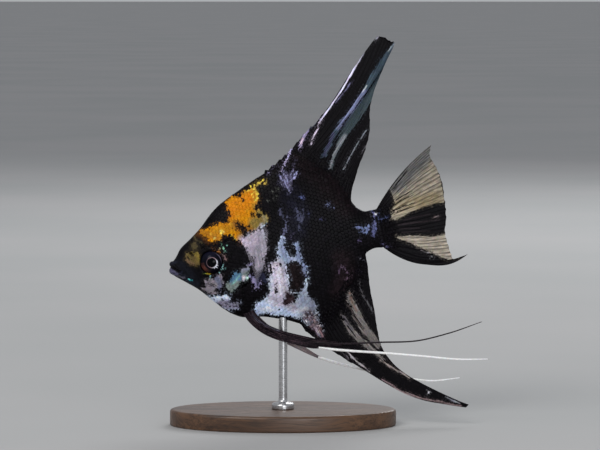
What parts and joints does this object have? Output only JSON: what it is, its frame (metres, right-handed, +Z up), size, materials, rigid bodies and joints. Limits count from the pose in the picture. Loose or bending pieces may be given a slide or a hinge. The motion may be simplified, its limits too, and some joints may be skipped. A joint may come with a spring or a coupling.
{
  "type": "marble angelfish",
  "caption": "Life-size display model of a marbled freshwater angelfish, swimming nose-down with its fins spread, held over a flat oval base by one short rod.",
  "frame": {"origin": "middle of the stand base's underside, on the floor", "axes": "+X towards the fish's tail, +Y towards the fish's right, +Z up"},
  "size_m": [0.1177, 0.048, 0.1442],
  "materials": {
    "skin": "moist black skin with white, blue-grey and orange marbling under fine scales",
    "eye": "wet and clear over a dark iris and a black pupil",
    "dark_fin": "black fin membrane with pale streaks between fine rays",
    "clear_fin": "thin translucent beige fin membrane with fine rays",
    "stand_wood": "oiled walnut",
    "stand_steel": "brushed"
  },
  "bodies": {
    "root": {"head": "skin", "trunk": "skin", "tail_stalk": "skin", "gill_cover_left": "skin", "gill_cover_right": "skin", "eye_left": "eye", "eye_right": "eye", "dorsal_fin": "dark_fin", "anal_fin": "dark_fin", "anal_fin_lobe": "dark_fin", "pelvic_fin_left": "dark_fin", "pelvic_fin_right": "dark_fin", "pelvic_streamer_left_upper": "dark_fin", "pelvic_streamer_left_lower": "clear_fin", "pelvic_streamer_right": "clear_fin", "caudal_fin": "clear_fin", "pectoral_fin_left": "clear_fin", "pectoral_fin_right": "clear_fin", "stand_base": "stand_wood", "stand_rod": "stand_steel"}
  },
  "joints": []
}
